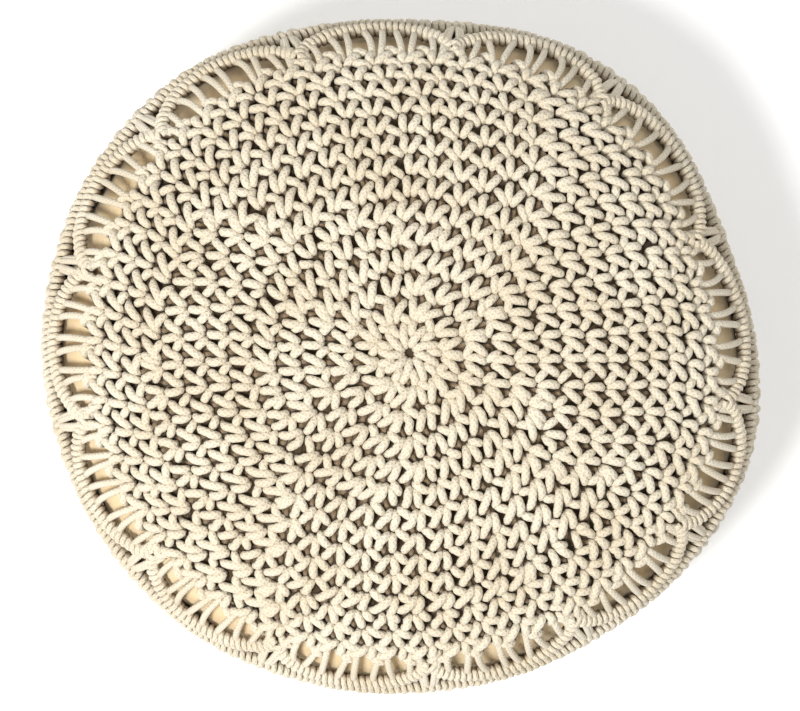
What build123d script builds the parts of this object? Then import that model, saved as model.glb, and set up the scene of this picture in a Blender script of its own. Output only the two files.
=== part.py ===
from build123d import *
from math import acos, copysign, cos, degrees, exp, hypot, radians, sin
import os

os.makedirs("parts", exist_ok=True)

# Round floor cushion: a crocheted cotton-cord cover over a canvas liner, with a zip in the base.
# Millimetres. +Z is up, X is the long way across, and the origin is the middle of the footprint.

# Outside of the cover
cover_width = 500.0       # across X
cover_depth = 468.0       # across Y; the stuffed disc sits a little oval
cover_height = 200.0
equator_height = 92.0     # height of the widest girth
cord = 5.0                # braided cotton cord
fabric_thickness = 2 * cord
seam_gap = 0.6            # room left between neighbouring rounds
oval = cover_depth / cover_width

# Crochet rounds
top_round_count = 13
first_row_height = 17.6   # rows are tallest at the middle
row_height_step = 0.29    # each row is this much shorter than the one before
centre_ring_radius = 3.2
edge_row_height = 13.0
side_round_count = 8
side_row_height = 13.2
base_round_count = 3
base_row_height = 13.0
base_chamfer = 1.5

# Lace band
scallop_count = 13
scallop_height = 38.0     # from the edge round to the peak of an arch, along the cover
first_cusp_angle = 81.0
cusp_step = 360.0 / scallop_count
cusp_drift = 6.4          # the lace was worked a little unevenly on one side
cusp_drift_angle = 2.0
cusp_drift_spread = 32.0
lace_thickness = fabric_thickness - 1.0
tie_room = 8.5            # half the gap left for the strands between two arches
tie_spread = 1.3          # degrees from the cusp to the foot of a strand
tie_lift = 1.6
tie_clearance = 3.5       # room at each end of a strand

# Liner, inner bag and filling
liner_thickness = 1.0
liner_inset = fabric_thickness / 2 + 0.4
bag_thickness = 0.6
bag_inset = liner_inset + liner_thickness + 2.0
filling_inset = bag_inset + bag_thickness + 0.4
liner_floor = fabric_thickness + 0.4
bag_floor = 14.0
panel_bottom = 8.6
binding_width = 5.6
binding_height = 6.0

# Zip
zip_half_length = 115.0
zip_travel = 210.0
tape_width = 12.6
tape_thickness = 0.6
tape_bottom = 9.7
slot_half_width = 5.6
tooth_pitch = 3.0
tooth_length = 1.7
tooth_reach = 2.4
tooth_thickness = 2.6
row_gap = 1.8             # room for the slider's neck between the two rows of teeth
slider_length = 11.0
slider_width = 9.2
plate_thickness = 1.2
play = 0.3
bridge_length = 8.0
bridge_width = 2.0
bridge_wall = 0.9
bridge_opening = 1.7
pull_thickness = 1.1
pull_width = 7.0
pull_length = 26.0
pull_window = 6.5

# The middle of the crochet fabric follows a superellipse, flattened where it meets the floor.
skin_radius = cover_width / 2 - fabric_thickness / 2
crown_rise = cover_height - fabric_thickness / 2 - equator_height
base_drop = 125.0
side_power = 2.6
crown_power = 2.08


def skin_point(latitude):
    """Radius and height of the fabric's middle at a latitude in degrees, 90 at the crown."""
    radius = skin_radius * cos(radians(latitude)) ** (2 / side_power)
    rise = crown_rise if latitude > 0 else base_drop
    lift = rise * sin(radians(abs(latitude))) ** (2 / crown_power)
    return radius, equator_height + copysign(lift, latitude)


def skin_slope(latitude):
    """Direction of the fabric in degrees, going outwards and down, at a latitude."""
    inner_radius, inner_height = skin_point(min(latitude + 0.5, 90))
    outer_radius, outer_height = skin_point(latitude - 0.5)
    run = Vector(outer_radius - inner_radius, outer_height - inner_height)
    return degrees(acos(run.normalized().X))


def offset_point(latitude, inset):
    """Radius and height at a latitude, moved inwards from the fabric's middle."""
    radius, height = skin_point(latitude)
    slope = radians(skin_slope(latitude))
    return max(radius - inset * sin(slope), 0.0), height - inset * cos(slope)


def latitude_after(latitude, distance):
    """The latitude reached by going down the skin for a distance."""
    step = 0.02
    travelled = 0.0
    radius, height = skin_point(latitude)
    while travelled < distance:
        latitude -= step
        next_radius, next_height = skin_point(latitude)
        travelled += hypot(next_radius - radius, next_height - height)
        radius, height = next_radius, next_height
    return latitude


def cusp_angle(index):
    """Angle of the low point between two lace arches."""
    even = first_cusp_angle - index * cusp_step
    away = (even - cusp_drift_angle) / cusp_drift_spread
    return even - cusp_drift * exp(-away * away)


def save(piece, name):
    piece.part.label = name
    export_step(piece.part, f"parts/{name}.step")


def crochet_round(name, latitude, row_height):
    """One round of stitches as a plain ring that lies along the skin."""
    radius, height = skin_point(latitude)
    with BuildPart() as ring:
        with BuildSketch(Plane.XZ):
            with Locations((radius, height)):
                Ellipse((row_height - seam_gap) / 2, fabric_thickness / 2, rotation=-skin_slope(latitude))
        revolve(axis=Axis.Z)
        scale(by=(1, oval, 1))
    save(ring, name)


# ---- Crocheted cover: top panel ----

with BuildPart() as centre_ring:
    with BuildSketch(Plane.XZ):
        with Locations((0, cover_height - fabric_thickness)):
            Rectangle(centre_ring_radius, fabric_thickness, align=(Align.MIN, Align.MIN))
    revolve(axis=Axis.Z)
    fillet(centre_ring.edges().group_by(Axis.Z)[-1], 1.5)
save(centre_ring, "centre_ring")

crown = 90.0
latitude = latitude_after(crown, centre_ring_radius + seam_gap)
for number in range(top_round_count):
    row_height = first_row_height - row_height_step * number
    middle = latitude_after(latitude, row_height / 2)
    crochet_round(f"top_round_{number + 1:02d}", middle, row_height)
    latitude = latitude_after(latitude, row_height)

# ---- Crocheted cover: lace band ----

edge_middle = latitude_after(latitude, edge_row_height / 2)
crochet_round("edge_round", edge_middle, edge_row_height)
lace_top = latitude_after(latitude, edge_row_height + seam_gap)
lace_foot = latitude_after(lace_top, scallop_height)

lace_steps = 5
lace_latitudes = [lace_top + (lace_foot - lace_top) * step / lace_steps for step in range(lace_steps + 1)]
lace_outer = [offset_point(value, -lace_thickness / 2) for value in lace_latitudes]
lace_inner = [offset_point(value, lace_thickness / 2) for value in lace_latitudes]
arch_root_radius = skin_point(lace_top)[0] - 2.0
arch_reach = skin_point(lace_foot)[0] + lace_thickness / 2 - arch_root_radius

for number in range(scallop_count):
    start = cusp_angle(number + 1)
    width = (cusp_angle(number) - start) % 360
    middle_angle = start + width / 2
    arch_half_width = arch_root_radius * sin(radians(width / 2)) - tie_room
    with BuildPart() as scallop:
        with BuildSketch(Plane.XZ.rotated((0, 0, start + 0.3))):
            with BuildLine():
                Spline(*lace_outer)
                Line(lace_outer[-1], lace_inner[-1])
                Spline(*reversed(lace_inner))
                Line(lace_inner[0], lace_outer[0])
            make_face()
        revolve(axis=Axis.Z, revolution_arc=width - 0.6)
        with BuildSketch(Plane.XY.rotated((0, 0, middle_angle))):
            with Locations((arch_root_radius, 0)):
                Ellipse(arch_reach, arch_half_width)
        extrude(amount=cover_height, mode=Mode.INTERSECT)
        scale(by=(1, oval, 1))
    save(scallop, f"scallop_{number + 1:02d}")

# Two strands lean together at each cusp, from the edge round up to a tie on the outer round.


def cover_position(latitude, angle, lift):
    radius, height = offset_point(latitude, -lift)
    return Vector(radius * cos(radians(angle)), radius * sin(radians(angle)), height)


with BuildPart() as cusp_ties:
    for number in range(scallop_count):
        for side in (-1, 1):
            low = cover_position(lace_top, cusp_angle(number) + side * tie_spread, tie_lift)
            high = cover_position(lace_foot, cusp_angle(number) + side * 0.75, tie_lift)
            run = high - low
            with Locations(Plane(origin=(low + high) / 2, z_dir=run)):
                Cylinder(cord / 2, run.length - 2 * tie_clearance)
    scale(by=(1, oval, 1))
save(cusp_ties, "cusp_ties")

# ---- Crocheted cover: outer rows and side ----

latitude = latitude_after(lace_foot, seam_gap)
for name in ("outer_round", "girth_round"):
    crochet_round(name, latitude_after(latitude, side_row_height / 2), side_row_height)
    latitude = latitude_after(latitude, side_row_height)

for number in range(side_round_count):
    middle = latitude_after(latitude, side_row_height / 2)
    crochet_round(f"side_round_{number + 1:02d}", middle, side_row_height)
    latitude = latitude_after(latitude, side_row_height)

# ---- Crocheted cover: the border that stands on the floor ----

base_outer_radius = skin_point(latitude)[0]
for number in range(base_round_count):
    radius = base_outer_radius - base_row_height * (number + 0.5)
    half_width = (base_row_height - seam_gap) / 2
    with BuildPart() as base_round:
        with BuildSketch(Plane.XY):
            Ellipse(radius + half_width, (radius + half_width) * oval)
            Ellipse(radius - half_width, (radius - half_width) * oval, mode=Mode.SUBTRACT)
        extrude(amount=fabric_thickness)
        chamfer(base_round.edges(), base_chamfer)
    save(base_round, f"base_round_{number + 1:02d}")
base_inner_radius = base_outer_radius - base_row_height * base_round_count

# ---- Canvas liner ----


def latitude_at_floor(inset, floor):
    """The latitude where the skin moved inwards by an inset comes down to a floor height."""
    latitude = 0.0
    while offset_point(latitude, inset)[1] > floor:
        latitude -= 0.05
    return latitude


def curve_points(start, end, inset, count):
    return [offset_point(start + (end - start) * step / count, inset) for step in range(count + 1)]


def arcs_through(points):
    """A smooth outline of arcs, each through three points in a row, in the current line."""
    for index in range(0, len(points) - 2, 2):
        ThreePointArc(*points[index:index + 3])


def sewn_panel(name, start, end, inset, thickness, curve_steps=6):
    """A thin panel that follows the skin between two latitudes."""
    outer = curve_points(start, end, inset, curve_steps)
    inner = curve_points(start, end, inset + thickness, curve_steps)
    with BuildPart() as panel:
        with BuildSketch(Plane.XZ):
            with BuildLine():
                arcs_through(outer)
                Line(outer[-1], inner[-1])
                arcs_through(inner[::-1])
                Line(inner[0], outer[0])
            make_face()
        revolve(axis=Axis.Z)
        scale(by=(1, oval, 1))
    save(panel, name)


def footed_panel(name, start, inset, thickness, floor, inner_radius, curve_steps=6):
    """A thin panel that follows the skin down to a floor height and turns in along it."""
    outer = curve_points(start, latitude_at_floor(inset, floor), inset, curve_steps)
    inner_end = latitude_at_floor(inset + thickness, floor + thickness)
    inner = curve_points(start, inner_end, inset + thickness, curve_steps)
    with BuildPart() as panel:
        with BuildSketch(Plane.XZ):
            with BuildLine():
                arcs_through(outer)
                Polyline(outer[-1], (inner_radius, outer[-1][1]), (inner_radius, inner[-1][1]), inner[-1])
                arcs_through(inner[::-1])
                Line(inner[0], outer[0])
            make_face()
        revolve(axis=Axis.Z)
        scale(by=(1, oval, 1))
    save(panel, name)


seam_latitude = lace_top
sewn_panel("liner_top", 90, seam_latitude + 0.2, liner_inset, liner_thickness)
footed_panel("liner_side", seam_latitude - 0.2, liner_inset, liner_thickness, liner_floor, base_inner_radius)

binding_radius = base_inner_radius - seam_gap - binding_width / 2
with BuildPart() as base_binding:
    with BuildSketch(Plane.XZ):
        with Locations((binding_radius, panel_bottom + liner_thickness / 2)):
            RectangleRounded(binding_width, binding_height, 1.5)
    revolve(axis=Axis.Z)
    scale(by=(1, oval, 1))
save(base_binding, "base_binding")

panel_radius = binding_radius - binding_width / 2 - 0.3
slot_half_length = zip_half_length + 3.0
seam_half_gap = 0.15
for side, name in ((1, "base_panel_left"), (-1, "base_panel_right")):
    with BuildPart() as base_panel:
        with BuildSketch(Plane.XY.offset(panel_bottom)):
            Ellipse(panel_radius, panel_radius * oval)
            with Locations((0, side * (seam_half_gap - panel_radius))):
                Rectangle(2 * panel_radius, 2 * panel_radius, mode=Mode.SUBTRACT)
            Rectangle(2 * slot_half_length, 2 * slot_half_width, mode=Mode.SUBTRACT)
        extrude(amount=liner_thickness)
    save(base_panel, name)

# ---- Inner bag and filling ----

sewn_panel("inner_bag_top", 90, 0.4, bag_inset, bag_thickness, curve_steps=8)
footed_panel("inner_bag_base", -0.4, bag_inset, bag_thickness, bag_floor, 0)

filling_floor = bag_floor + bag_thickness + 0.4
lower_filling = curve_points(latitude_at_floor(filling_inset, filling_floor), 0, filling_inset, 4)
upper_filling = curve_points(0, 90, filling_inset, 8)
with BuildPart() as filling:
    with BuildSketch(Plane.XZ):
        with BuildLine():
            arcs_through(lower_filling)
            arcs_through(upper_filling)
            Polyline(upper_filling[-1], (0, filling_floor), lower_filling[0])
        make_face()
    revolve(axis=Axis.Z)
    scale(by=(1, oval, 1))
save(filling, "filling")

# ---- Zip across the base ----

tape_inner = row_gap / 2 + tooth_reach + 0.1
tooth_count = int(2 * zip_half_length / tooth_pitch)
tape_middle = tape_bottom + tape_thickness / 2
for side, word in ((1, "left"), (-1, "right")):
    with BuildPart() as tape:
        with Locations((0, side * (tape_inner + tape_width / 2), tape_middle)):
            Box(2 * zip_half_length, tape_width, tape_thickness)
    save(tape, f"zip_tape_{word}")

    with BuildPart() as teeth:
        with Locations((0, side * (row_gap / 2 + tooth_reach * 0.75), tape_middle)):
            Box(tooth_count * tooth_pitch, tooth_reach / 2, tooth_thickness * 0.6)
        with Locations((side * tooth_pitch / 4, side * (row_gap / 2 + tooth_reach / 2), tape_middle)):
            with GridLocations(tooth_pitch, 0, tooth_count - 1, 1):
                Box(tooth_length, tooth_reach, tooth_thickness)
    save(teeth, f"zip_teeth_{word}")

# The slider waits at the closed end and runs towards +X.
slider_x = -zip_travel / 2
stop_length = 3.0
stop_x = zip_travel / 2 + slider_length / 2 + play + stop_length / 2
stop_bottom = tape_middle - tooth_thickness / 2
with BuildPart() as closed_stop:
    with Locations((-stop_x - 4.0, 0, stop_bottom - 0.7)):
        Box(stop_length, 2 * (tape_inner - 0.2), 0.6)
save(closed_stop, "zip_closed_end_stop")
with BuildPart() as open_stop:
    with Locations((stop_x, 0, stop_bottom - 0.7)):
        Box(stop_length, 2 * (tape_inner - 0.2), 0.6)
save(open_stop, "zip_open_end_stop")

lower_plate_top = stop_bottom - play
lower_plate_bottom = lower_plate_top - plate_thickness
upper_plate_bottom = tape_middle + tooth_thickness / 2 + play
bridge_height = bridge_opening + bridge_wall
with BuildPart() as slider:
    with BuildSketch(Plane.XY.offset(lower_plate_bottom)):
        with Locations((slider_x, 0)):
            RectangleRounded(slider_length, slider_width, 2.2)
    extrude(amount=plate_thickness)
    with BuildSketch(Plane.XY.offset(upper_plate_bottom)):
        with Locations((slider_x, 0)):
            RectangleRounded(slider_length, slider_width, 2.2)
    extrude(amount=plate_thickness)
    with BuildSketch(Plane.XY.offset(lower_plate_top)):
        with Locations((slider_x + slider_length / 2 - 2.6, 0)):
            Rectangle(3.0, row_gap - 2 * play)
    extrude(amount=upper_plate_bottom - lower_plate_top)
    with Locations((slider_x, 0, lower_plate_bottom - bridge_height / 2)):
        Box(bridge_length, bridge_width, bridge_height)
    with Locations((slider_x, 0, lower_plate_bottom - bridge_opening / 2)):
        Box(bridge_length - 3.0, bridge_width, bridge_opening, mode=Mode.SUBTRACT)
save(slider, "zip_slider")

# The pull hangs on a crossbar through the slider's bridge.
hinge_height = lower_plate_bottom - bridge_opening / 2
arm_width = 1.2
arm_middle = bridge_width / 2 + 0.6 + arm_width / 2
with BuildPart() as pull:
    with BuildSketch(Plane.XZ.offset(-arm_middle - arm_width / 2)):
        with Locations((slider_x, hinge_height)):
            Circle(pull_thickness / 2)
    extrude(amount=2 * arm_middle + arm_width)
    with Locations(*[(slider_x + pull_window / 2, side * arm_middle, hinge_height) for side in (1, -1)]):
        Box(pull_window, arm_width, pull_thickness)
    with BuildSketch(Plane.XY.offset(hinge_height - pull_thickness / 2)):
        with Locations((slider_x + (pull_window + pull_length) / 2, 0)):
            RectangleRounded(pull_length - pull_window, pull_width, 1.6)
    extrude(amount=pull_thickness)
    with Locations((slider_x + pull_length - 3.6, 0, hinge_height)):
        Hole(1.6, pull_thickness * 2)
save(pull, "zip_pull")

print("pull hinge at", slider_x, hinge_height, "resting face at", base_outer_radius - 1.5 * base_row_height)
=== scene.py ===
# Round floor cushion: crocheted cotton cord over a stuffed canvas liner, looked at from above.
# Lengths are in metres. Z is up, X is the long way across.
import math
import bpy
import numpy as np
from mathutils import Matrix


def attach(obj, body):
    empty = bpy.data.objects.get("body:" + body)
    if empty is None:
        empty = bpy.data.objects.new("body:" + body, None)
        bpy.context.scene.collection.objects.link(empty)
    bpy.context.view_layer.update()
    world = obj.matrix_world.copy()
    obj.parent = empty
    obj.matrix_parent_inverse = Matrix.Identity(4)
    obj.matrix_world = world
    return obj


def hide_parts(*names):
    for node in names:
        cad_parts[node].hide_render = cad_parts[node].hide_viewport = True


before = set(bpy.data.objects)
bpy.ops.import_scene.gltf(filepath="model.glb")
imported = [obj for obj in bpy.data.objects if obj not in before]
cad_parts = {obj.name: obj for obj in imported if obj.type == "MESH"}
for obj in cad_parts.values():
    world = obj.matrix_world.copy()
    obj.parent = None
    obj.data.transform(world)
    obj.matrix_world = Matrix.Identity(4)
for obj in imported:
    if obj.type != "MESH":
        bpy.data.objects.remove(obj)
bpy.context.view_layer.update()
body = "cushion"
print("frame loaded,", len(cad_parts), "nodes")

cover = {
    "width": 0.500, "depth": 0.474, "height": 0.200, "girthHeight": 0.092,
    "cord": 0.005,                      # braided cord, thickness
    "baseDrop": 0.125, "sidePower": 2.6, "crownPower": 2.08,
    "middleShift": (0.006, 0.002),      # the crochet starts a little off centre
    # gentle unevenness of the outline: times round, cosine share, sine share
    "lobes": (
        (1, 0.0, 0.007), (2, 0.0, -0.008), (4, -0.009, -0.010), (5, 0.0, -0.009), (6, 0.004, -0.003),
    ),
    "firstRow": 0.0176, "rowStep": 0.00029, "ringRadius": 0.0038,
    "edgeRow": 0.0130, "rowGap": 0.0006, "laceHeight": 0.038, "sideRow": 0.0132, "baseRow": 0.0130,
    "floorFade": 0.06,                  # below this height the off-centre slide dies away
    "lowestMiddle": 0.0004, "lowestSurface": 0.00005,     # where the cord is pressed flat on the floor
}
cover["oval"] = cover["depth"] / cover["width"]
cord = cover["cord"]

skinGrid = {
    "lowest": -60, "latitudes": 3001, "steps": 1600,
    "flatGap": 0.0002, "flatEnd": 0.02, "flatSteps": 800,
    "softWidth": 15,                    # points averaged to smooth the slope
}


# The middle of the fabric is a superellipse turned about Z, and it lies flat on the floor inside its foot.
# Along is the way down from the crown, lift is the height off the middle of the fabric.
def skinTable():
    latitude = np.radians(np.linspace(90, skinGrid["lowest"], skinGrid["latitudes"]))
    radius = cover["width"] / 2 - cord
    crownRise = cover["height"] - cord - cover["girthHeight"]
    rise = np.where(latitude > 0, crownRise, cover["baseDrop"])
    r = radius * np.cos(latitude) ** (2 / cover["sidePower"])
    height = np.sign(latitude) * rise * np.abs(np.sin(latitude)) ** (2 / cover["crownPower"])
    z = cover["girthHeight"] + height
    standing = z > cord
    r, z = r[standing], z[standing]
    flatR = np.linspace(r[-1] - skinGrid["flatGap"], skinGrid["flatEnd"], skinGrid["flatSteps"])
    r = np.concatenate([r, flatR])
    z = np.concatenate([z, np.full(len(flatR), cord)])
    along = np.concatenate([[0], np.cumsum(np.hypot(np.diff(r), np.diff(z)))])
    even = np.linspace(0, along[-1], skinGrid["steps"])
    r, z = np.interp(even, along, r), np.interp(even, along, z)
    slopeR, slopeZ = np.gradient(r), np.gradient(z)
    width = skinGrid["softWidth"]
    soft = np.ones(width) / width
    slopeR = np.convolve(np.pad(slopeR, width // 2, "edge"), soft, "valid")
    slopeZ = np.convolve(np.pad(slopeZ, width // 2, "edge"), soft, "valid")
    size = np.hypot(slopeR, slopeZ)
    return {"along": even, "r": r, "z": z, "nr": -slopeZ / size, "nz": slopeR / size}


skin = skinTable()
skinRadius = skin["r"].max()


# Radius and height come from the skin at that way down, moved out along its normal by the lift.
# The plan is round in the middle and squashed to the oval towards the rim, by the fourth power of the
# radius. It is then swelled by the lobes and slid towards the off-centre middle.
def onCover(angle, along, lift):
    angle, along, lift = np.broadcast_arrays(angle, along, lift)
    r = np.interp(along, skin["along"], skin["r"]) + lift * np.interp(along, skin["along"], skin["nr"])
    z = np.interp(along, skin["along"], skin["z"]) + lift * np.interp(along, skin["along"], skin["nz"])
    share = np.clip(r / skinRadius, 0, 1.1) ** 2
    swell = np.ones_like(r)
    for times, cosShare, sinShare in cover["lobes"]:
        swell = swell + share * (cosShare * np.cos(times * angle) + sinShare * np.sin(times * angle))
    low = np.clip(z / cover["floorFade"], 0, 1)
    slide = np.clip(1 - share, 0, 1) * low
    x = r * np.cos(angle) * swell + slide * cover["middleShift"][0]
    squash = 1 - (1 - cover["oval"]) * np.clip(share, 0, 1) ** 2
    y = r * np.sin(angle) * swell * squash + slide * cover["middleShift"][1]
    return np.stack([x, y, np.maximum(z, cover["lowestMiddle"])], axis=-1)


# A vector divided by its own length.
def unit(v):
    return v / np.maximum(np.linalg.norm(v, axis=-1, keepdims=True), 1e-9)


# The way out of the cover: from a point on it to the one lifted a little above it.
def normalOn(angle, along):
    lifted = 0.002
    return unit(onCover(angle, along, lifted) - onCover(angle, along, 0.0))


# A smooth line through given points: the Catmull-Rom blend of four neighbours in a row.
def smoothLine(points, between, closed):
    if closed:
        p0, p1 = np.roll(points, 1, axis=-2), points
        p2, p3 = np.roll(points, -1, axis=-2), np.roll(points, -2, axis=-2)
    else:
        ends = np.concatenate([points[..., :1, :] * 2 - points[..., 1:2, :], points,
                               points[..., -1:, :] * 2 - points[..., -2:-1, :]], axis=-2)
        p0, p1, p2, p3 = ends[..., :-3, :], ends[..., 1:-2, :], ends[..., 2:-1, :], ends[..., 3:, :]
    t = (np.arange(between) / between)[:, None]
    parts = [a[..., :, None, :] for a in (p0, p1, p2, p3)]
    line = 0.5 * (2 * parts[1] + (parts[2] - parts[0]) * t
                  + (2 * parts[0] - 5 * parts[1] + 4 * parts[2] - parts[3]) * t ** 2
                  + (3 * parts[1] - parts[0] - 3 * parts[2] + parts[3]) * t ** 3)
    line = line.reshape(*points.shape[:-2], -1, points.shape[-1])
    if not closed:
        line = np.concatenate([line, points[..., -1:, :]], axis=-2)
    return line


# Rings of points carried along lines. Lines is (how many, points each, 3); each line is its own tube,
# or with chained the lines follow one another as one endless cord. The ring's side vector is handed
# on from point to point, and in a chain what is left over is spread as a slow twist.
def cordMesh(name, lines, radius, sides, chained, tone):
    count, length = lines.shape[:2]
    radius = np.broadcast_to(radius, (count, length))
    tone = np.broadcast_to(tone, (count, length))
    if chained:
        whole = lines.reshape(-1, 3)
        tangent = unit(np.roll(whole, -1, axis=0) - np.roll(whole, 1, axis=0)).reshape(lines.shape)
    else:
        tangent = unit(np.gradient(lines, axis=1))
    first = np.cross(tangent[:, 0], [0, 0, 1.0])
    weak = np.linalg.norm(first, axis=-1, keepdims=True) < 0.1
    first = unit(np.where(weak, np.cross(tangent[:, 0], [1.0, 0, 0]), first))
    side = np.empty_like(lines)
    side[:, 0] = first
    for step in range(1, length):
        carried = side[:, step - 1]
        along = (carried * tangent[:, step]).sum(-1, keepdims=True)
        side[:, step] = unit(carried - along * tangent[:, step])
    if chained:
        nextT, nextSide = np.roll(tangent[:, 0], -1, axis=0), np.roll(first, -1, axis=0)
        last = side[:, -1]
        last = unit(last - (last * nextT).sum(-1, keepdims=True) * nextT)
        miss = np.arctan2((np.cross(last, nextSide) * nextT).sum(-1), (last * nextSide).sum(-1))
        turn = (miss[:, None] * np.arange(length) / length)[..., None]
        side = side * np.cos(turn) + np.cross(tangent, side) * np.sin(turn)
    up = np.cross(tangent, side)
    around = np.linspace(0, 2 * np.pi, sides, endpoint=False)
    ring = side[:, :, None] * np.cos(around)[:, None] + up[:, :, None] * np.sin(around)[:, None]
    verts = (lines[:, :, None] + ring * radius[:, :, None, None]).reshape(-1, 3)
    verts[:, 2] = np.maximum(verts[:, 2], cover["lowestSurface"])

    perLine = length * sides
    step, edge = np.meshgrid(np.arange(length - (0 if chained else 1)), np.arange(sides), indexing="ij")
    base = (np.arange(count) * perLine)[:, None, None]
    a = base + step * sides + edge
    b = base + step * sides + (edge + 1) % sides
    c = base + (step + 1) * sides + (edge + 1) % sides
    d = base + (step + 1) * sides + edge
    total = count * perLine
    quads = np.stack([a % total, b % total, c % total, d % total], axis=-1).reshape(-1, 4)

    # the texture runs along the cord in cord widths and once round it
    travel = np.linalg.norm(np.diff(lines, axis=1), axis=-1).cumsum(axis=1)
    travel = np.concatenate([np.zeros((count, 1)), travel], axis=1) / cord
    if chained:
        gap = np.linalg.norm(np.roll(lines[:, 0], -1, axis=0) - lines[:, -1], axis=-1) / cord
        lengths = travel[:, -1] + gap
        travel = travel + np.concatenate([[0], lengths.cumsum()[:-1]])[:, None]
        following = np.concatenate([travel.reshape(-1), [travel.reshape(-1)[-1] + gap[-1]]])
        uStart = travel.reshape(-1).repeat(sides)
        uEnd = following[1:].repeat(sides)
    else:
        uStart = travel[:, :-1].reshape(-1).repeat(sides)
        uEnd = travel[:, 1:].reshape(-1).repeat(sides)
    v = np.tile(np.arange(sides), len(uStart) // sides) / sides
    uv = np.stack([np.stack([uStart, v], -1), np.stack([uStart, v + 1 / sides], -1),
                   np.stack([uEnd, v + 1 / sides], -1), np.stack([uEnd, v], -1)], axis=1)

    faces = quads.tolist()
    uvs = uv.reshape(-1, 2)
    if not chained:
        starts = (np.arange(count) * perLine)[:, None] + np.arange(sides)[None, ::-1]
        ends = (np.arange(count) * perLine + perLine - sides)[:, None] + np.arange(sides)[None]
        faces = faces + starts.tolist() + ends.tolist()
        uvs = np.concatenate([uvs, np.zeros((2 * count * sides, 2))])
    return putMesh(name, verts, faces, uvs, tone.reshape(-1).repeat(sides))


# Points and faces into a smooth mesh, with the texture places and the lit shares for painted shade when there
# are any.
def putMesh(name, verts, faces, uvs=None, tone=None):
    mesh = bpy.data.meshes.new(name)
    mesh.from_pydata(np.asarray(verts).reshape(-1, 3).tolist(), [], faces)
    if uvs is not None:
        mesh.uv_layers.new(name="lay").data.foreach_set("uv", np.asarray(uvs, np.float32).reshape(-1))
    if tone is not None:
        mesh.attributes.new("tone", "FLOAT", "POINT").data.foreach_set("value", np.asarray(tone, np.float32))
    mesh.polygons.foreach_set("use_smooth", np.ones(len(mesh.polygons), bool))
    mesh.update()
    piece = bpy.data.objects.new(name, mesh)
    bpy.context.scene.collection.objects.link(piece)
    return piece


# A socket of a shader node that takes sums and products, so that a finish reads as a formula.
class Wire:
    def __init__(self, tree, socket):
        self.tree, self.socket = tree, socket

    def maths(self, operation, a, b=None):
        values = {0: a} if b is None else {0: a, 1: b}
        return self.tree.node("ShaderNodeMath", {"operation": operation}, values)

    def __add__(self, other):
        return self.maths("ADD", self, other)

    def __radd__(self, other):
        return self.maths("ADD", other, self)

    def __sub__(self, other):
        return self.maths("SUBTRACT", self, other)

    def __rsub__(self, other):
        return self.maths("SUBTRACT", other, self)

    def __mul__(self, other):
        return self.maths("MULTIPLY", self, other)

    def __rmul__(self, other):
        return self.maths("MULTIPLY", other, self)

    def sin(self):
        return self.maths("SINE", self)

    def size(self):
        return self.maths("ABSOLUTE", self)

    def most(self, other):
        return self.maths("MAXIMUM", self, other)


# A material in the making: its shader, and short ways to add nodes to it.
class Finish:
    def __init__(self, name, shader):
        self.material = bpy.data.materials.new(name)
        self.material.use_nodes = True
        self.tree = self.material.node_tree
        self.shader = self.tree.nodes["Principled BSDF"]
        for socketName, value in shader.items():
            self.shader.inputs[socketName].default_value = value

    # one node: its own settings first, then the values or wires of its sockets
    def node(self, kind, settings, values, output=0):
        made = self.tree.nodes.new(kind)
        for key, value in settings.items():
            if key == "stops":
                ramp = made.color_ramp
                while len(ramp.elements) < len(value):
                    ramp.elements.new(0.5)
                for element, (place, colour) in zip(ramp.elements, value):
                    element.position, element.color = place, (*colour, 1)
            else:
                setattr(made, key, value)
        for key, value in values.items():
            if isinstance(value, Wire):
                self.tree.links.new(value.socket, made.inputs[key])
            else:
                made.inputs[key].default_value = value
        return Wire(self, made.outputs[output])

    def mix(self, share, first, second):
        values = {0: share}
        for key, value in ((6, first), (7, second)):
            values[key] = value if isinstance(value, Wire) else (*value, 1)
        return self.node("ShaderNodeMix", {"data_type": "RGBA"}, values, 2)

    def ramp(self, share, stops):
        return self.node("ShaderNodeValToRGB", {"stops": stops}, {0: share})

    def noise(self, where, scale, detail=3.0):
        return self.node("ShaderNodeTexNoise", {}, {"Vector": where, "Scale": scale, "Detail": detail})

    def place(self, which):
        return self.node("ShaderNodeTexCoord", {}, {}, which)

    def parts(self, vector):
        made = self.tree.nodes.new("ShaderNodeSeparateXYZ")
        self.tree.links.new(vector.socket, made.inputs[0])
        return [Wire(self, out) for out in made.outputs]

    def wear(self, colour=None, rough=None, height=None, strength=0.5, distance=0.001):
        for key, value in (("Base Color", colour), ("Roughness", rough)):
            if value is not None:
                self.tree.links.new(value.socket, self.shader.inputs[key])
        if height is not None:
            values = {"Strength": strength, "Distance": distance, "Height": height}
            bump = self.node("ShaderNodeBump", {}, values)
            self.tree.links.new(bump.socket, self.shader.inputs["Normal"])
        return self.material


black, white = (0, 0, 0), (1, 1, 1)
# painted shade: browns laid on cord and liner where they lie deep or hidden
shadeBrown, deepShadeBrown = (0.16, 0.092, 0.034), (0.035, 0.019, 0.006)
braid = {"turns": 4.0, "pitch": 1.5}    # strands round the cord, and slants in one cord width
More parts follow.
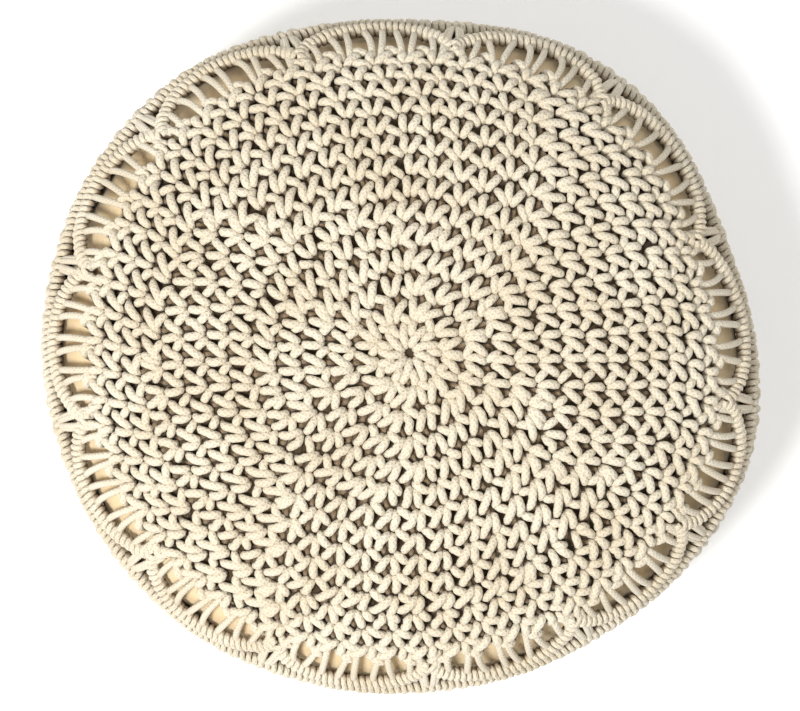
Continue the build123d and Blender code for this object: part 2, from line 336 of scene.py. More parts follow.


# Braided cotton cord: strands slant both ways round it, with flecks of seed husk, painted shade in the
# grooves between strands and painted shade on hidden strands.
def cordFinish(name, light, dark, huskAndGrooveShade):
    f = Finish(name, {"Roughness": 0.9, "Sheen Weight": 0.25, "Sheen Roughness": 0.5,
                      "Specular IOR Level": 0.2})
    along, around, _ = f.parts(f.place("UV"))
    slant, spin = 2 * math.pi * braid["pitch"], 2 * math.pi * braid["turns"]
    oneWay = (along * slant + around * spin).sin()
    otherWay = (along * slant - around * spin).sin()
    plait = oneWay.most(otherWay)
    here = f.place("Object")
    fleck = f.noise(here, 900.0, 2.0)
    drift = f.noise(here, 22.0, 3.0)
    fibre = f.noise(here, 2600.0, 2.0)
    tone = f.node("ShaderNodeAttribute", {"attribute_name": "tone"}, {}, 2)
    body = f.mix(f.ramp(drift, [(0.35, black), (0.65, white)]), dark, light)
    speck = f.ramp(fleck, [(0.34, white), (0.44, black)])
    body = f.mix(speck * 0.35, body, huskAndGrooveShade)
    # painted shade: the grooves between the plaited strands are darkened
    grooveShade = f.ramp(plait, [(0.35, white), (0.75, black)])
    body = f.mix(grooveShade * 0.22, body, huskAndGrooveShade)
    # painted shade: the lit share on the points turns hidden strands brown and the deepest almost black-brown
    shaded = f.ramp(tone, [(0.30, white), (0.72, black)])
    body = f.mix(shaded * 0.9, body, shadeBrown)
    deepestShade = f.ramp(tone, [(0.06, white), (0.34, black)])
    body = f.mix(deepestShade * 0.92, body, deepShadeBrown)
    rough = 0.78 + 0.18 * fibre
    return f.wear(body, rough, plait * 0.7 + fibre * 0.5, 0.55, 0.0006)


# Plain-woven canvas: warp and weft rise in turn, with painted shade between the threads, slubs and a slow
# change of colour.
def canvasFinish(name, light, dark, threads, openBand=None):
    f = Finish(name, {"Roughness": 0.92, "Sheen Weight": 0.2, "Specular IOR Level": 0.15})
    x, y, z = f.parts(f.place("Object"))
    warp, weft = (x * (threads * math.pi)).sin(), (y * (threads * math.pi)).sin()
    weave = (warp * weft).size()
    here = f.place("Object")
    slub = f.noise(here, 260.0, 3.0)
    drift = f.noise(here, 14.0, 2.0)
    colour = f.mix(f.ramp(drift, [(0.35, black), (0.7, white)]), dark, light)
    # painted shade: the lines between the threads are darkened
    colour = f.mix((1 - weave) * 0.22, colour, tuple(c * 0.62 for c in dark))
    colour = f.mix(f.ramp(slub, [(0.56, black), (0.7, (0.35, 0.35, 0.35))]), colour, light)
    if openBand:
        # painted shade: dark brown behind the close stitches, its own colour only at the heights where the
        # lace is open
        low, high, soft = [value / cover["height"] for value in openBand]
        share = z * (1 / cover["height"])
        hidden = f.ramp(share, [(low - soft, white), (low, black), (high, black), (high + soft, white)])
        colour = f.mix(hidden * 0.95, colour, deepShadeBrown)
    return f.wear(colour, 0.84 + 0.12 * slub, weave + slub * 0.6, 0.4, 0.0004)


# Brass: noise drawn out along X as fine scratches, with duller patches where it has been handled.
def brassFinish(name, light, dark):
    f = Finish(name, {"Metallic": 1.0, "Roughness": 0.35})
    here = f.place("Object")
    dull = f.noise(here, 180.0, 4.0)
    drawn = f.node("ShaderNodeMapping", {}, {"Vector": here, "Scale": (1.0, 14.0, 14.0)})
    scratch = f.noise(drawn, 900.0, 2.0)
    colour = f.mix(f.ramp(dull, [(0.35, black), (0.65, white)]), dark, light)
    return f.wear(colour, 0.24 + 0.3 * dull, scratch, 0.25, 0.0001)


cordCream = cordFinish("cottonCord", (0.80, 0.738, 0.605), (0.73, 0.648, 0.50), (0.44, 0.33, 0.18))
baseCanvas = canvasFinish("baseCanvas", (0.88, 0.76, 0.56), (0.80, 0.66, 0.45), 1100.0)
bindingCloth = canvasFinish("bindingTape", (0.84, 0.72, 0.52), (0.74, 0.61, 0.41), 1500.0)
zipCloth = canvasFinish("zipTape", (0.76, 0.66, 0.48), (0.68, 0.57, 0.39), 2400.0)
bagCloth = canvasFinish("innerBagCloth", (0.88, 0.86, 0.80), (0.80, 0.77, 0.70), 1900.0)
fillingCloth = canvasFinish("fillingFibre", (0.86, 0.84, 0.78), (0.74, 0.70, 0.62), 420.0)
threadCotton = cordFinish("threadCotton", (0.86, 0.80, 0.68), (0.80, 0.72, 0.58), (0.5, 0.4, 0.26))
zipBrass = brassFinish("zipBrass", (0.80, 0.62, 0.30), (0.52, 0.38, 0.16))
print("finishes made")


# A piece takes its finish and its body, and the nodes that it stands in for are hidden.
def dress(piece, material, slot, *nodes):
    piece.data.materials.clear()
    piece.data.materials.append(material)
    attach(piece, body)
    if nodes:
        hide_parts(*nodes)
    return piece


stitch = {
    # across in stitch widths, out in row heights, lift in cord widths, lit share from deep in painted shade
    # to lit
    "path": [
        (-0.04, 0.04, -0.72, 0.0), (-0.09, 0.15, -0.02, 0.8), (-0.12, 0.38, 0.40, 1.0),
        (-0.11, 0.60, 0.36, 1.0), (-0.07, 0.76, -0.06, 0.75), (-0.01, 0.78, -0.62, 0.1),
        (0.08, 0.58, -0.62, 0.25), (0.14, 0.28, -0.66, 0.1), (0.11, 0.03, -0.76, 0.0),
        (0.13, 0.12, -0.02, 0.8), (0.23, 0.29, 0.42, 1.0), (0.35, 0.49, 0.46, 1.0),
        (0.47, 0.68, 0.22, 0.95), (0.56, 0.78, -0.30, 0.4), (0.74, 0.80, -0.62, 0.1),
        (0.76, 0.92, -0.14, 0.75), (0.66, 1.02, 0.20, 1.0), (0.52, 1.14, 0.20, 1.0),
        (0.40, 1.26, -0.18, 0.7), (0.32, 1.16, -0.74, 0.0), (0.24, 0.92, -0.60, 0.35),
        (0.27, 0.64, -0.68, 0.2), (0.35, 0.62, -0.80, 0.0), (0.43, 0.90, -0.62, 0.35),
        (0.49, 0.66, -0.76, 0.1), (0.72, 0.28, -0.80, 0.0),
    ],
    "between": 2, "sides": 8, "thin": 0.25, "plump": 0.355,
    "jitter": (0.045, 0.040, 0.06), "pointShare": 0.5, "wholeShare": 0.7, "seed": 7,
    "fan": 0.26, "lean": 0.04,          # stitches that share a hole, and the lean to one side, in widths
    "hidden": -0.3,                     # a point below this lift isn't moved up or down
    "widest": 1.25, "lowest": -0.8, "highest": 0.46,
}
path = np.array(stitch["path"])
legA, legB = slice(0, 6), slice(8, 12)

# Round the middle the legs are long and tuck under one another, so only every second one reaches the hole.
middlePath = path.copy()
middlePath[legA, 1] = 0.36 + 0.76 * middlePath[legA, 1]
middlePath[legA, 2] = middlePath[legA, 2] - np.array([0.1, 0.25, 0.1, 0, 0, 0])
middlePath[legB, 1] = [0.02, 0.10, 0.30, 0.52]
middlePath[legB, 0] = [0.14, 0.16, 0.24, 0.34]
middlePath[12:14, 1] = [0.80, 0.92]


# Every stitch starts in a hole of the round before and ends spread evenly round its own round.
# A point's angle runs from the start hole to the end hole as it goes out, and its across part is
# counted in stitch widths clockwise.
def crochetRound(name, start, height, starts, count, random, node, path=path):
    parent = (np.arange(count) * len(starts) / count).astype(int)
    shared = np.bincount(parent, minlength=len(starts))
    order = np.arange(count) - np.searchsorted(parent, parent)
    spread = (order - (shared[parent] - 1) / 2) * stitch["fan"]
    stitchWidth = 2 * np.pi / count
    hole = starts[parent] - spread * stitchWidth
    unwrapped = np.unwrap(hole)
    even = -np.arange(count) * stitchWidth
    ends = even + (unwrapped - even).mean() - stitch["lean"] * stitchWidth
    move = random.normal(size=(count, len(path), 3)) * np.array(stitch["jitter"]) * stitch["pointShare"]
    whole = random.normal(size=(count, 1, 3)) * np.array(stitch["jitter"]) * stitch["wholeShare"]
    across = path[:, 0] + move[..., 0] + whole[..., 0]
    out = path[:, 1] + move[..., 1] + whole[..., 1]
    lift = path[:, 2] + (move[..., 2] + whole[..., 2]) * (path[:, 2] > stitch["hidden"])
    width = 2 * np.pi / len(starts) * (1 - np.clip(out, 0, 1)) + stitchWidth * np.clip(out, 0, 1)
    width = np.minimum(width, stitchWidth * stitch["widest"])
    angle = unwrapped[:, None] * (1 - out) + ends[:, None] * out - across * width
    along = start + out * height
    where = onCover(angle, along, np.clip(lift, stitch["lowest"], stitch["highest"]) * cord)
    # each point's lit share paints the hidden strands in shade and also sets the cord's girth
    litShares = np.broadcast_to(path[:, 3], angle.shape)[..., None]
    points = np.concatenate([where, litShares], axis=-1).reshape(-1, 4)
    smooth = smoothLine(points, stitch["between"], True).reshape(count, -1, 4)
    lines, tone = smooth[..., :3], np.clip(smooth[..., 3], 0, 1)
    radius = cord * (stitch["thin"] + stitch["plump"] * tone)
    piece = cordMesh(name, lines, radius, stitch["sides"], True, tone)
    dress(piece, cordCream, "cotton_cord", node)
    return np.mod(ends, 2 * np.pi)


random = np.random.default_rng(stitch["seed"])
topCounts = [9, 16, 22, 28, 34, 39, 43, 47, 51, 55, 58, 60, 62]
along = cover["ringRadius"]
holes = -np.arange(topCounts[0]) * 2 * np.pi / topCounts[0]
for number, count in enumerate(topCounts):
    height = cover["firstRow"] - cover["rowStep"] * number
    name = f"top_round_{number + 1:02d}"
    shape = middlePath if number == 0 else path
    holes = crochetRound(f"topRound{number + 1:02d}", along, height, holes, count, random, name, shape)
    along += height
holes = crochetRound("edgeRound", along, cover["edgeRow"], holes, topCounts[-1], random, "edge_round")
laceTop = along + cover["edgeRow"]
laceFoot = laceTop + cover["rowGap"] + cover["laceHeight"]
print("top panel worked,", sum(topCounts), "stitches")

# The lace band: arches of wound cord, each over pairs of long loops that lean out from the edge round.
lace = {
    "scallops": 13, "firstCusp": 81.0, "drift": 6.4, "driftAngle": 2.0, "driftSpread": 32.0,
    "pairs": 5, "strand": 0.0024, "root": -0.0065, "archLow": 0.0035, "archTop": -0.0035, "archShape": 0.62,
    "coilRadius": 0.0033, "coilCord": 0.0021, "ringPitch": 0.0045, "ringSteps": 10, "sides": 6, "seed": 21,
    "archPoints": 90, "archLift": 0.0012,
    "loopPoints": 6, "rootShift": (-0.024, 0.024), "fan": 1.06, "topShift": (-0.060, 0.050),
    "topJitter": 0.014, "swing": 0.010, "swingJitter": 0.006, "underArch": 0.0005,
    "liftRoot": 0.0002, "liftBelly": 0.0024, "liftTuck": 0.0016, "liftTop": 0.001,
}
winding = {
    "swell": 0.07, "swellTurns": 3.1, "slack": 0.05, "slackTurns": 7.7,    # turns are never quite alike
    "litMiddle": 0.56, "litSwing": 0.44,
}


# Cusps stand evenly round the cushion, but a bell-shaped drift crowds them on one side.
def cuspAngle(index):
    even = lace["firstCusp"] - index * 360 / lace["scallops"]
    away = (even - lace["driftAngle"]) / lace["driftSpread"]
    return math.radians(even - lace["drift"] * math.exp(-away * away))


# An arch starts low at one cusp, rises like a power of a sine and comes down at the next.
def archAlong(share):
    rise = np.sin(np.pi * np.clip(share, 0, 1)) ** lace["archShape"]
    return laceTop + lace["archLow"] + (laceFoot + lace["archTop"] - laceTop - lace["archLow"]) * rise


# Cord wound round a line on the cover: a circle turned in the plane of the normal and the side, while its
# middle goes along the line. Two slow sines make the circle swell and slacken.
def coil(centre, outward, radius, pitch, steps, closed=False):
    if closed:
        tangent = unit(np.roll(centre, -1, 0) - np.roll(centre, 1, 0))
    else:
        tangent = unit(np.gradient(centre, axis=0))
    lengths = np.linalg.norm(np.diff(centre, axis=0), axis=-1)
    travel = np.concatenate([[0], lengths.cumsum()])
    turns = int(round(travel[-1] / pitch))
    fine = np.linspace(0, travel[-1], turns * steps, endpoint=not closed)
    middle = np.stack([np.interp(fine, travel, centre[:, k]) for k in range(3)], -1)
    forward = unit(np.stack([np.interp(fine, travel, tangent[:, k]) for k in range(3)], -1))
    normal = np.stack([np.interp(fine, travel, outward[:, k]) for k in range(3)], -1)
    normal = unit(normal - (normal * forward).sum(-1, keepdims=True) * forward)
    side = np.cross(forward, normal)
    turn = np.arange(turns * steps) / steps
    phase = 2 * np.pi * turn
    loose = (1 + winding["swell"] * np.sin(2 * np.pi * turn / winding["swellTurns"])
             + winding["slack"] * np.sin(2 * np.pi * turn / winding["slackTurns"] + 1))
    reach = (radius * loose)[:, None]
    line = middle + reach * (np.cos(phase)[:, None] * normal + np.sin(phase)[:, None] * side)
    # painted shade: each turn is lit on its outer side and shaded brown on its flanks and underneath
    tone = winding["litMiddle"] + winding["litSwing"] * np.cos(phase)
    return line, tone


laceRandom = np.random.default_rng(lace["seed"])
for number in range(lace["scallops"]):
    start, end = cuspAngle(number), cuspAngle(number + 1)
    if end > start:
        end -= 2 * np.pi
    share = np.linspace(0, 1, lace["archPoints"])
    angle = start + (end - start) * share
    ring = archAlong(share)
    middle = onCover(angle, ring, lace["archLift"])
    line, tone = coil(middle, normalOn(angle, ring), lace["coilRadius"], lace["ringPitch"], lace["ringSteps"])
    name = f"scallopArch{number + 1:02d}"
    arch = cordMesh(name, line[None], lace["coilCord"], lace["sides"], False, tone[None])
    dress(arch, cordCream, "cotton_cord", f"scallop_{number + 1:02d}")

    # pairs of long loops stand on the edge round and lean out under the arch
    middles = np.repeat((np.arange(lace["pairs"]) + 0.5) / lace["pairs"], 2)
    root = middles + np.tile(lace["rootShift"], lace["pairs"])
    top = 0.5 + (middles - 0.5) * lace["fan"] + np.tile(lace["topShift"], lace["pairs"])
    top = top + laceRandom.normal(size=top.shape) * lace["topJitter"]
    rise = np.linspace(0, 1, lace["loopPoints"])[None, :]
    swing = laceRandom.normal(size=(len(top), 1)) * lace["swingJitter"] + lace["swing"]
    across = root[:, None] * (1 - rise) + top[:, None] * rise + swing * np.sin(np.pi * rise)
    low, high = laceTop + lace["root"], archAlong(top) - lace["underArch"]
    out = low * (1 - rise) + high[:, None] * rise
    belly = np.sin(np.pi * rise) ** 0.7
    lift = lace["liftRoot"] + lace["liftBelly"] * belly
    lift = lift - lace["liftTuck"] * (rise < 0.01) - lace["liftTop"] * rise
    points = onCover(start + (end - start) * across, out, lift)
    lines = smoothLine(points, 4, False)
    tone = np.linspace(1.0, 0.75, lines.shape[1])[None, :]
    loops = cordMesh(f"laceLoops{number + 1:02d}", lines, lace["strand"], 8, False, tone)
    dress(loops, cordCream, "cotton_cord")
print("lace band worked")

# Strands lean together at each cusp, from the edge round up to the wound row outside the arches.
tie = {
    "feet": 0.021, "tips": 0.006, "strand": 0.0022, "twin": 0.010, "tipTwin": 0.8, "points": 7,
    "footOut": 0.001, "tipOut": 0.004, "lift": 0.0012, "belly": 0.0022, "under": 0.001, "tone": 0.9,
}
cusps = np.array([cuspAngle(number) for number in range(lace["scallops"])])
rise = np.linspace(0, 1, tie["points"])[None, :]
ties = []
for side in (-1, 1):
    for twin in (0, 1):
        foot = cusps[:, None] + side * (tie["feet"] + twin * tie["twin"])
        tip = cusps[:, None] + side * (tie["tips"] + twin * tie["twin"] * tie["tipTwin"])
        angle = foot * (1 - rise) + tip * rise
        out = (laceTop + tie["footOut"]) * (1 - rise) + (laceFoot + tie["tipOut"]) * rise
        lift = tie["lift"] + tie["belly"] * np.sin(np.pi * rise) - tie["under"] * twin
        ties.append(smoothLine(onCover(angle, out, lift), 3, False))
cuspTies = cordMesh("cuspTies", np.concatenate(ties), tie["strand"], 8, False, tie["tone"])
dress(cuspTies, cordCream, "cotton_cord", "cusp_ties")

# The wound row dips in at each cusp and swells out past each arch, by a cosine of the way to the cusp.
wound = {
    "dip": 0.0035, "middle": 0.0066, "halfArch": 0.24, "lift": 0.0008, "points": 1600,
    "radius": 0.0034, "cord": 0.0021, "pitch": 0.0046, "ringSteps": 9, "sides": 6,
}
angle = np.linspace(0, -2 * np.pi, wound["points"], endpoint=False)
nearest = np.abs(np.angle(np.exp(1j * (angle[:, None] - cusps[None, :])))).min(axis=1)
out = laceFoot + wound["middle"] - wound["dip"] * np.cos(np.pi * np.clip(nearest / wound["halfArch"], 0, 1))
middle = onCover(angle, out, wound["lift"])
line, tone = coil(middle, normalOn(angle, out), wound["radius"], wound["pitch"], wound["ringSteps"], True)
line, tone = line.reshape(1, -1, 3), tone.reshape(1, -1)
outer = cordMesh("outerRound", line, wound["cord"], wound["sides"], True, tone)
dress(outer, cordCream, "cotton_cord", "outer_round")

# Plain cord lies behind the wound row and closes the gap down to the girth round, with a slight painted
# shade.
backing = {
    "rows": (0.0072, 0.0128), "strand": 0.0027, "lift": -0.0014, "wave": 0.0009, "waves": 76, "tone": 0.7,
}
for row, rowOut in enumerate(backing["rows"]):
    sway = backing["wave"] * np.sin(backing["waves"] * angle + row * np.pi)
    line = onCover(angle, laceFoot + rowOut + sway, backing["lift"])
    cordRow = cordMesh(f"backingCord{row + 1}", line[None], backing["strand"], 8, True, backing["tone"])
    dress(cordRow, cordCream, "cotton_cord")

# The rounds below the lace keep the girth's stitches at first and then lose some in each round.
girthCount = 76
sideCounts, baseCounts = [76, 76, 75, 74, 72, 70, 67, 63], [59, 55, 51]
along = laceFoot + cover["rowGap"] + cover["sideRow"]
holes = -np.arange(girthCount) * 2 * np.pi / girthCount
holes = crochetRound("girthRound", along, cover["sideRow"], holes, girthCount, random, "girth_round")
for number, count in enumerate(sideCounts):
    along += cover["sideRow"]
    name = f"side_round_{number + 1:02d}"
    holes = crochetRound(f"sideRound{number + 1:02d}", along, cover["sideRow"], holes, count, random, name)
along += cover["sideRow"]
for number, count in enumerate(baseCounts):
    name = f"base_round_{number + 1:02d}"
    holes = crochetRound(f"baseRound{number + 1:02d}", along, cover["baseRow"], holes, count, random, name)
    along += cover["baseRow"]
print("side and base worked")

# A small knot closes the middle of the crochet: a spiral that narrows and sinks with each turn, painted in
# shade.
knot = {
    "turns": 2.0, "points": 40, "radius": 0.0052, "narrowing": 0.0006, "depth": 0.0085, "sinking": 0.0011,
    "strand": 0.0021, "tone": 0.3,
}
turn = np.linspace(0, 2 * np.pi * knot["turns"], knot["points"])
r = knot["radius"] - knot["narrowing"] * turn / (2 * np.pi)
x = cover["middleShift"][0] + r * np.cos(turn)
y = cover["middleShift"][1] + r * np.sin(turn)
z = cover["height"] - knot["depth"] - knot["sinking"] * turn / (2 * np.pi)
centre = cordMesh("centreRing", np.stack([x, y, z], -1)[None], knot["strand"], 8, False, knot["tone"])
dress(centre, cordCream, "cotton_cord", "centre_ring")

linerPad = {
    "inset": 0.0064, "floor": 0.0105, "voxel": 0.006, "pressure": 4.0, "frames": 20, "most": 0.0035,
    "pressed": 0.0005, "behindLace": 0.004, "laceFade": 0.006,
}
bagGrid = {"crown": 0.004, "foot": 0.03, "steps": 70, "spokes": 160}


# A closed bag: rings of points going down the skin at an inset, flat where it meets the base.
def bagShape(name, inset, floor):
    steps, spokes = bagGrid["steps"], bagGrid["spokes"]
    along = np.linspace(bagGrid["crown"], skin["along"][-1] - bagGrid["foot"], steps)[:, None]
    angle = np.linspace(0, 2 * np.pi, spokes, endpoint=False)[None, :]
    verts = onCover(angle, along, -inset).reshape(-1, 3)
    verts[:, 2] = np.maximum(verts[:, 2], floor)
    ring, spoke = np.meshgrid(np.arange(steps - 1), np.arange(spokes), indexing="ij")
    a, b = ring * spokes + spoke, ring * spokes + (spoke + 1) % spokes
    faces = np.stack([a, a + spokes, b + spokes, b], axis=-1).reshape(-1, 4).tolist()
    crown, foot = len(verts), len(verts) + 1
    verts = np.concatenate([verts, verts[:spokes].mean(0)[None], verts[-spokes:].mean(0)[None]])
    last = (steps - 1) * spokes
    faces += [[crown, k, (k + 1) % spokes] for k in range(spokes)]
    faces += [[foot, last + (k + 1) % spokes, last + k] for k in range(spokes)]
    return putMesh(name, verts, faces)


# The bag is blown up a little as cloth, with its movement capped, so that it swells between the stitches.
def puffUp(piece):
    scene = bpy.context.scene
    bpy.context.view_layer.objects.active = piece
    remesh = piece.modifiers.new("grid", "REMESH")
    remesh.mode, remesh.voxel_size = "VOXEL", linerPad["voxel"]
    piece.select_set(True)
    bpy.ops.object.modifier_apply(modifier=remesh.name)
    before = np.empty(len(piece.data.vertices) * 3)
    piece.data.vertices.foreach_get("co", before)
    cloth = piece.modifiers.new("cloth", "CLOTH")
    cloth.settings.use_pressure = True
    cloth.settings.uniform_pressure_force = linerPad["pressure"]
    cloth.settings.effector_weights.gravity = 0
    cloth.point_cache.frame_end = linerPad["frames"]
    for step in range(1, linerPad["frames"] + 1):
        scene.frame_set(step)
    bpy.ops.object.modifier_apply(modifier=cloth.name)
    scene.frame_set(1)
    after = np.empty_like(before)
    piece.data.vertices.foreach_get("co", after)
    before, after = before.reshape(-1, 3), after.reshape(-1, 3)
    move = after - before
    size = np.linalg.norm(move, axis=-1, keepdims=True)
    after = before + move * np.minimum(1, linerPad["most"] / np.maximum(size, 1e-9))
    after[:, 2] = np.maximum(after[:, 2], linerPad["floor"] - linerPad["pressed"])
    piece.data.vertices.foreach_set("co", after.reshape(-1))
    piece.data.polygons.foreach_set("use_smooth", np.ones(len(piece.data.polygons), bool))
    piece.data.update()


liner = bagShape("stuffedLiner", linerPad["inset"], linerPad["floor"])
puffUp(liner)
# the liner keeps its own colour only in this band of heights behind the open lace; above and below it is
# painted in shade
laceEdges = np.array([laceTop - linerPad["behindLace"], laceFoot + linerPad["behindLace"]])
openTop, openFoot = onCover(0.0, laceEdges, -linerPad["inset"])[:, 2]
openBand = (openFoot, openTop, linerPad["laceFade"])
linerCanvas = canvasFinish("linerCanvas", (0.95, 0.79, 0.52), (0.90, 0.70, 0.43), 1100.0, openBand)
dress(liner, linerCanvas, "canvas", "liner_top", "liner_side")
innerBag = bagShape("innerBag", 0.0120, 0.0155)
dress(innerBag, bagCloth, "inner_bag_cloth", "inner_bag_top", "inner_bag_base")
fibre = bagShape("looseFilling", 0.0140, 0.0175)
dress(fibre, fillingCloth, "filling_fibre", "filling")
print("liner stuffed,", len(liner.data.vertices), "points")

# The canvas base: two panels with the zip between them, a binding round them and rows of machine stitches.
base = {
    "radius": 0.1480, "oval": 0.936, "bottom": 0.0086, "thickness": 0.0010, "sag": 0.0016,
    "slotLength": 0.118, "slotWidth": 0.0056, "seam": 0.0002, "hem": 0.0035,
    "bindingRadius": 0.1511, "bindingWidth": 0.0028, "bindingHeight": 0.0030, "bindingMiddle": 0.0091,
    "thread": 0.00032, "stitchPitch": 0.0032, "stitchLength": 0.0022,
    "puckers": 46, "puckerDepth": 0.00035, "ripple": 210, "rippleDepth": 0.00018,
    "panelSteps": 180, "panelRows": 46,
    "gather": 0.05, "gathers": 97, "square": 0.6, "tapeSteps": 360, "tapeSides": 14,
}


# The underside sags between its edges by a power of a sine of the share. Puckers are a sine of the angle
# that dies away inwards from the binding, and the hem by the zip ripples as a sine of x.
def baseDrop(x, y, share):
    turn = np.arctan2(y, x)
    belly = np.sin(np.pi * np.clip(share, 0, 1)) ** 0.6
    pucker = np.sin(base["puckers"] * turn + 2.0 * np.sin(7 * turn)) * np.clip(share, 0, 1) ** 5
    ripple = np.sin(x * base["ripple"] + 1.5 * np.sin(x * 63)) * np.clip(1 - share * 3, 0, 1)
    sunk = base["bottom"] - base["sag"] * belly
    return sunk + base["puckerDepth"] * pucker * belly + base["rippleDepth"] * ripple


# Half an oval between the zip slot and the binding: x runs along it and the share runs from slot to rim.
def basePanel(name, side, node):
    steps, rows = base["panelSteps"], base["panelRows"]
    x = base["radius"] * 0.997 * np.sin(np.linspace(-np.pi / 2, np.pi / 2, steps))
    inner = np.where(np.abs(x) < base["slotLength"], base["slotWidth"], base["seam"])
    rim = np.sqrt(np.maximum(base["radius"] ** 2 - x ** 2, 0)) * base["oval"]
    rim = np.maximum(rim, inner + 0.0003)
    share = np.linspace(0, 1, rows)[None, :]
    y = side * (inner[:, None] * (1 - share) + rim[:, None] * share)
    x = np.broadcast_to(x[:, None], y.shape)
    low = baseDrop(x, y, np.broadcast_to(share, y.shape))
    bottom = np.stack([x, y, low], -1).reshape(-1, 3)
    top = np.stack([x, y, low + base["thickness"]], -1).reshape(-1, 3)
    i, j = np.meshgrid(np.arange(steps - 1), np.arange(rows - 1), indexing="ij")
    a, b, c, d = i * rows + j, (i + 1) * rows + j, (i + 1) * rows + j + 1, i * rows + j + 1
    upper = np.stack([a, b, c, d], -1).reshape(-1, 4)
    edge = np.concatenate([np.arange(steps) * rows, (steps - 1) * rows + np.arange(1, rows),
                           np.arange(steps - 2, -1, -1) * rows + rows - 1, np.arange(rows - 2, 0, -1)])
    after, whole = np.roll(edge, -1), steps * rows
    walls = np.stack([edge, after, after + whole, edge + whole], -1)
    faces = np.concatenate([upper[:, ::-1], upper + whole, walls])
    if side < 0:
        faces = faces[:, ::-1]
    piece = putMesh(name, np.concatenate([bottom, top]), faces.tolist())
    return dress(piece, baseCanvas, "canvas", node)


basePanel("basePanelLeft", 1, "base_panel_left")
basePanel("basePanelRight", -1, "base_panel_right")


# The height of the binding gathers as a sine of the angle whose beat comes and goes.
def gathered(turn):
    return 1 + base["gather"] * np.sin(base["gathers"] * turn + 1.5 * np.sin(11 * turn))


# The binding is a rolled tape: a rounded square section carried round the oval, gathered a little.
steps, sides = base["tapeSteps"], base["tapeSides"]
turn, lip = np.meshgrid(np.linspace(0, 2 * np.pi, steps, endpoint=False),
                        np.linspace(0, 2 * np.pi, sides, endpoint=False), indexing="ij")
wide = base["bindingWidth"] * np.sign(np.cos(lip)) * np.abs(np.cos(lip)) ** base["square"]
high = base["bindingHeight"] * np.sign(np.sin(lip)) * np.abs(np.sin(lip)) ** base["square"] * gathered(turn)
r = base["bindingRadius"] + wide
tape = np.stack([r * np.cos(turn), r * np.sin(turn) * base["oval"], base["bindingMiddle"] + high], -1)
i, j = np.meshgrid(np.arange(steps), np.arange(sides), indexing="ij")
nextI, nextJ = (i + 1) % steps, (j + 1) % sides
a, b = i * sides + j, nextI * sides + j
c, d = nextI * sides + nextJ, i * sides + nextJ
faces = np.stack([a, b, c, d], -1).reshape(-1, 4)
dress(putMesh("baseBinding", tape, faces.tolist()), bindingCloth, "binding_tape", "base_binding")


# A row of machine stitches: each is a short thread that dips into the cloth at both ends.
def stitchRow(name, where):
    gaps = np.linalg.norm(np.diff(where, axis=0), axis=-1)
    travel = np.concatenate([[0], gaps.cumsum()])
    starts = np.arange(0, travel[-1] - base["stitchLength"], base["stitchPitch"])
    along = starts[:, None] + np.linspace(0, base["stitchLength"], 5)[None, :]
    lines = np.stack([np.interp(along, travel, where[:, k]) for k in range(3)], -1)
    lines[..., 2] -= base["thread"] * np.sin(np.pi * np.linspace(0, 1, 5))
    return cordMesh(name, lines, base["thread"], 5, False, 0.9)


for side, word in ((1, "Left"), (-1, "Right")):
    x = np.linspace(-base["slotLength"] + 0.001, base["slotLength"] - 0.001, 400)
    y = np.full_like(x, side * (base["slotWidth"] + base["hem"]))
    share = base["hem"] / (base["radius"] * base["oval"] * np.sqrt(1 - (x / base["radius"]) ** 2))
    row = stitchRow(f"zipStitching{word}", np.stack([x, y, baseDrop(x, y, share)], -1))
    dress(row, threadCotton, "canvas")
turn = np.linspace(0, 2 * np.pi, 1400)
r = base["bindingRadius"]
under = base["bindingMiddle"] - base["bindingHeight"] * gathered(turn)
row = stitchRow("bindingStitching", np.stack([r * np.cos(turn), r * np.sin(turn) * base["oval"], under], -1))
dress(row, threadCotton, "binding_tape")
print("base sewn")

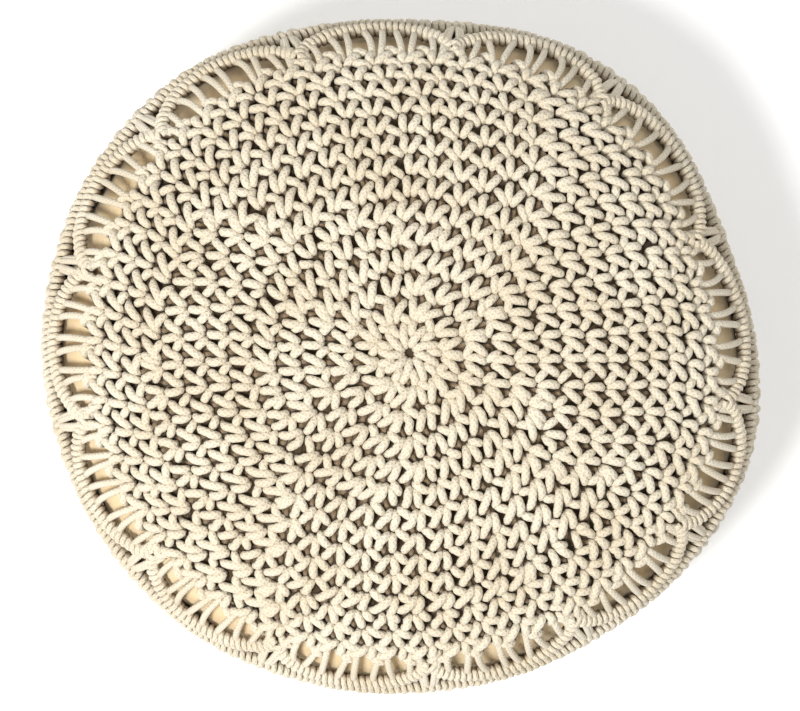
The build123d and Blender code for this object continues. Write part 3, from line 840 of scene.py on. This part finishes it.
# The zip's own nodes stay as they are and only take these finishes.
for node, material in (("zip_tape_left", zipCloth), ("zip_tape_right", zipCloth),
                       ("zip_teeth_left", zipBrass), ("zip_teeth_right", zipBrass),
                       ("zip_closed_end_stop", zipBrass), ("zip_open_end_stop", zipBrass),
                       ("zip_slider", zipBrass), ("zip_pull", zipBrass)):
    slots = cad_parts[node].data.materials
    for index in range(len(slots)):
        slots[index] = material

# The studio: a long lens straight above, a pale floor and two soft lamps.
studio = {"lens": 150.0, "sensor": 36, "across": 0.5556, "eyeShift": 0.0003, "floorSize": 8.0, "room": 0.42}
scene = bpy.context.scene
distance = studio["lens"] / studio["sensor"] * studio["across"]
eye = bpy.data.cameras.new("eye")
eye.lens, eye.sensor_width = studio["lens"], studio["sensor"]
camera = bpy.data.objects.new("camera", eye)
camera.location = (0, studio["eyeShift"], cover["girthHeight"] + distance)
scene.collection.objects.link(camera)
scene.camera = camera

half = studio["floorSize"] / 2
corners = [(-half, -half, 0), (half, -half, 0), (half, half, 0), (-half, half, 0)]
floor = putMesh("studioFloor", corners, [[0, 1, 2, 3]])
paper = Finish("paper", {"Roughness": 0.9, "Emission Color": (1, 1, 1, 1), "Emission Strength": 0.22})
paper.wear(paper.mix(paper.noise(paper.place("Object"), 3.0), (0.93, 0.93, 0.93), (0.95, 0.95, 0.95)))
floor.data.materials.append(paper.material)


# A round area lamp turned to the middle of the cushion.
def lamp(name, where, size, power, colour=(1, 1, 1)):
    light = bpy.data.lights.new(name, "AREA")
    light.shape, light.size, light.energy, light.color = "DISK", size, power, colour
    made = bpy.data.objects.new(name, light)
    made.location = where
    direction = np.array([0, 0, 0.1]) - np.array(where)
    flat = math.hypot(direction[0], direction[1])
    made.rotation_euler = (math.atan2(flat, -direction[2]), 0, math.atan2(-direction[0], direction[1]))
    scene.collection.objects.link(made)


lamp("keyLight", (-0.95, -0.75, 2.1), 0.7, 54, (1.0, 0.99, 0.97))
lamp("fillLight", (0.9, 1.0, 2.4), 1.8, 16)
world = bpy.data.worlds.new("room")
world.use_nodes = True
world.node_tree.nodes["Background"].inputs["Color"].default_value = (1.0, 1.0, 1.0, 1)
world.node_tree.nodes["Background"].inputs["Strength"].default_value = studio["room"]
scene.world = world
scene.view_settings.view_transform = "Standard"
print("studio lit")
